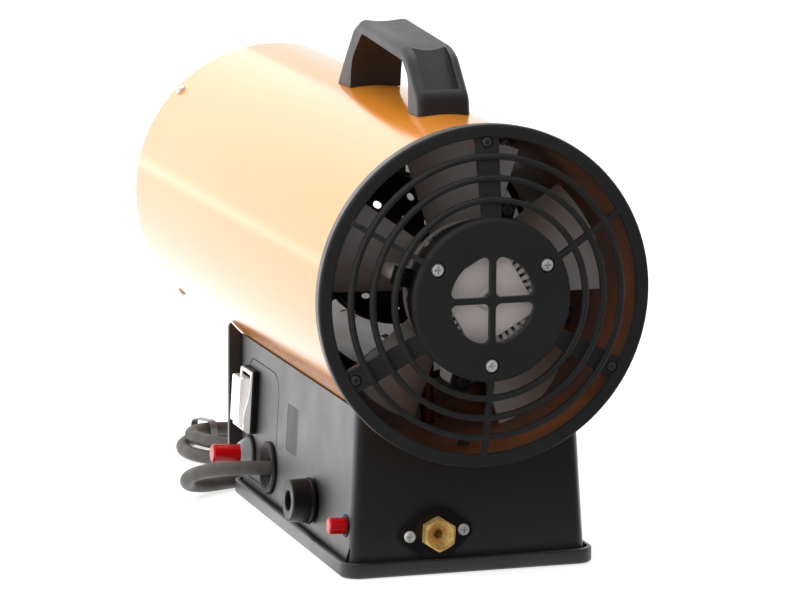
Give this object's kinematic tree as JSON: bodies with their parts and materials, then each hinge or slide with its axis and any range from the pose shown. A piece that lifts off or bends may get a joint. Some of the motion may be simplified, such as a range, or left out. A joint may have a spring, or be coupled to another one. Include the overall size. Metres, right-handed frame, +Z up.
{
  "type": "forced air heater",
  "caption": "Portable gas-fired forced air heater: fan and burner in a round tube on a control base, with carrying handle and cord.",
  "frame": {"origin": "on the floor, midway along the tube from the grille hub to the outlet edge", "axes": "+Z up, +Y towards the air inlet grille, +X towards the control wall; the outlet faces -Y"},
  "size_m": [0.2221, 0.4577, 0.3088],
  "materials": {
    "orange_paint": "satin powder coat",
    "black_moulding": "fine moulded texture",
    "black_steel": "satin black paint",
    "dark_screws": "blackened",
    "zinc_screws": "zinc plated",
    "steel": "bare sheet",
    "motor_grey": "cast",
    "fan_metal": "sheet",
    "burner_steel": "aluminised sheet",
    "brass": "machined",
    "copper": "drawn tube",
    "coil_black": "potted",
    "ceramic": "glazed",
    "light_plastic": "smooth",
    "red_plastic": "smooth",
    "rubber": "matt",
    "plug_pins": "nickel plated"
  },
  "bodies": {
    "housing": {"base_shell": "black_moulding", "base_tray": "black_moulding", "bracket_screws": "dark_screws", "burner_bracket": "steel", "burner_head": "burner_steel", "cable_gland": "black_moulding", "chamber_screws": "zinc_screws", "chamber_spacers": "steel", "combustion_chamber": "burner_steel", "cord_coil": "rubber", "cord_lead": "rubber", "cord_tail": "rubber", "cord_tie": "light_plastic", "cover_screws": "dark_screws", "electrode": "ceramic", "front_cover": "black_moulding", "gas_inlet": "brass", "gas_nozzle": "brass", "gas_pipe": "copper", "gas_valve": "brass", "gland_nut": "black_moulding", "grille_screws": "dark_screws", "handle": "black_moulding", "handle_screws": "dark_screws", "heater_tube": "orange_paint", "igniter_body": "black_moulding", "igniter_collar": "black_moulding", "igniter_gasket": "black_moulding", "inlet_plate": "black_steel", "inlet_screws": "zinc_screws", "motor_bracket": "black_steel", "motor_front_cap": "motor_grey", "motor_rear_cap": "motor_grey", "motor_screws": "zinc_screws", "motor_stator": "steel", "overheat_thermostat": "steel", "plug_body": "black_moulding", "plug_pins": "plug_pins", "rear_grille": "black_moulding", "regulator_body": "brass", "rubber_feet": "rubber", "saddle_screws": "dark_screws", "switch_bezel": "light_plastic", "switch_body": "black_moulding", "switch_frame": "black_moulding", "terminal_block": "black_moulding", "thermocouple": "steel", "transfer_pipe": "copper", "valve_coil": "coil_black", "valve_collar": "black_moulding"},
    "fan": {"fan_rotor": "fan_metal", "fan_nut": "zinc_screws", "motor_shaft": "steel", "motor_rotor": "steel"},
    "knob": {"regulator_knob": "black_moulding", "knob_ring": "light_plastic", "regulator_stem": "brass"},
    "rocker": {"switch_rocker": "light_plastic"},
    "igniter": {"igniter_button": "red_plastic"},
    "valve_push": {"valve_button": "red_plastic"}
  },
  "joints": [
    {"name": "fan_spin", "type": "hinge", "parent": "housing", "child": "fan", "pos_m": [0, 0.1664, 0.16911], "axis": [0, 1, 0], "continuous": true},
    {"name": "knob_turn", "type": "hinge", "parent": "housing", "child": "knob", "pos_m": [0.07225, 0.1079, 0.0289], "axis": [0.9984, 0, 0.0558], "range_deg": [0, 270]},
    {"name": "rocker_tilt", "type": "hinge", "parent": "housing", "child": "rocker", "pos_m": [0.06874, -0.0326, 0.06311], "axis": [0, -1, 0], "range_deg": [0, 12]},
    {"name": "igniter_push", "type": "slide", "parent": "housing", "child": "igniter", "axis": [-0.9984, 0, -0.0558], "range_m": [0, 0.007], "stiffness_N_per_m": 600},
    {"name": "valve_push_in", "type": "slide", "parent": "housing", "child": "valve_push", "axis": [-0.9984, 0, -0.0558], "range_m": [0, 0.004], "stiffness_N_per_m": 400}
  ]
}
